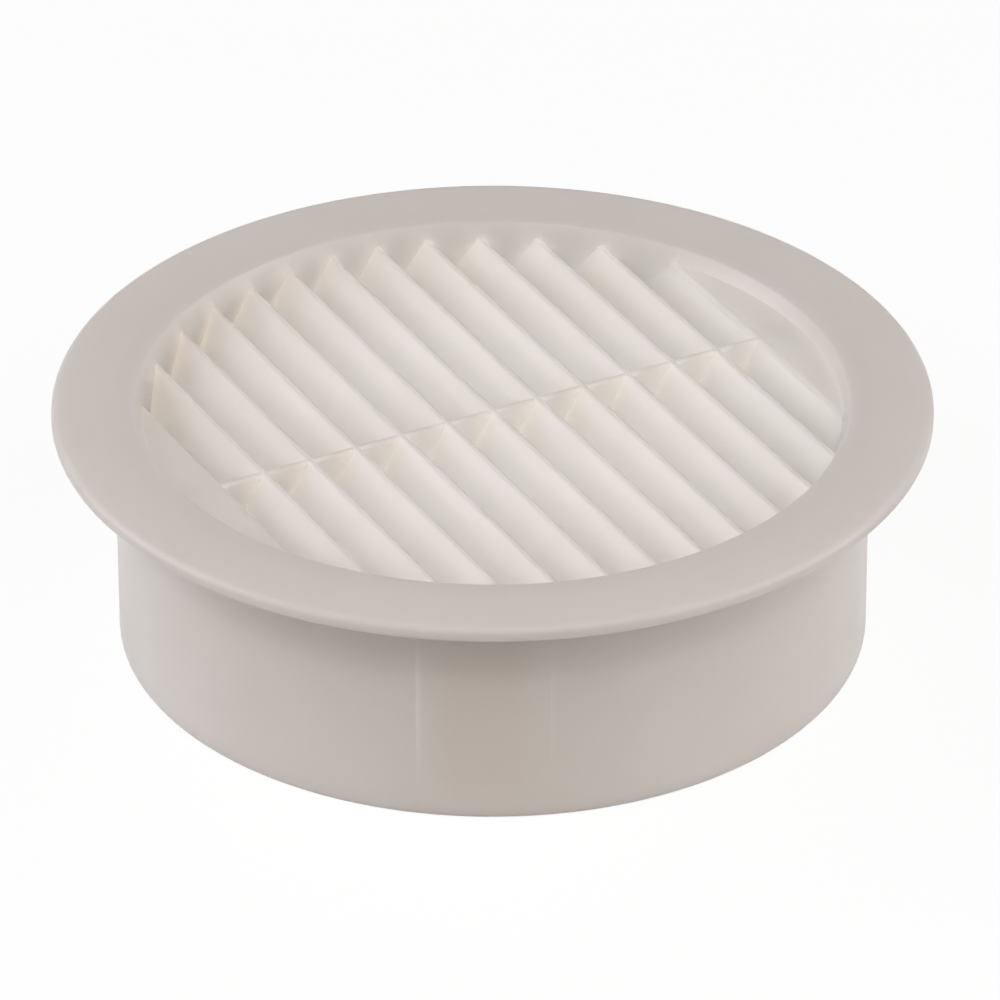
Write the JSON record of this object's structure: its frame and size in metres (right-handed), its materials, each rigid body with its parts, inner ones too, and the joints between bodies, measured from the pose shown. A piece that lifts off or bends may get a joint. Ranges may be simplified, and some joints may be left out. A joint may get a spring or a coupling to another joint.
{
  "type": "foundation vent cover",
  "caption": "Round moulded vent cover with a flat flange, a plain collar that plugs into a pipe, and a recessed grille of sloping slats tied by a cross rib.",
  "frame": {"origin": "centre of the collar's lower end, which the part stands on", "axes": "+Z along the collar's axis, from its lower end to the flange's face; the grille's cross rib is turned 28.2 degrees from +X towards +Y"},
  "size_m": [0.1248, 0.1248, 0.0363],
  "materials": {
    "moulded_plastic": "satin, warm white, as moulded"
  },
  "bodies": {
    "root": {"vent_cover": "moulded_plastic"}
  },
  "joints": []
}
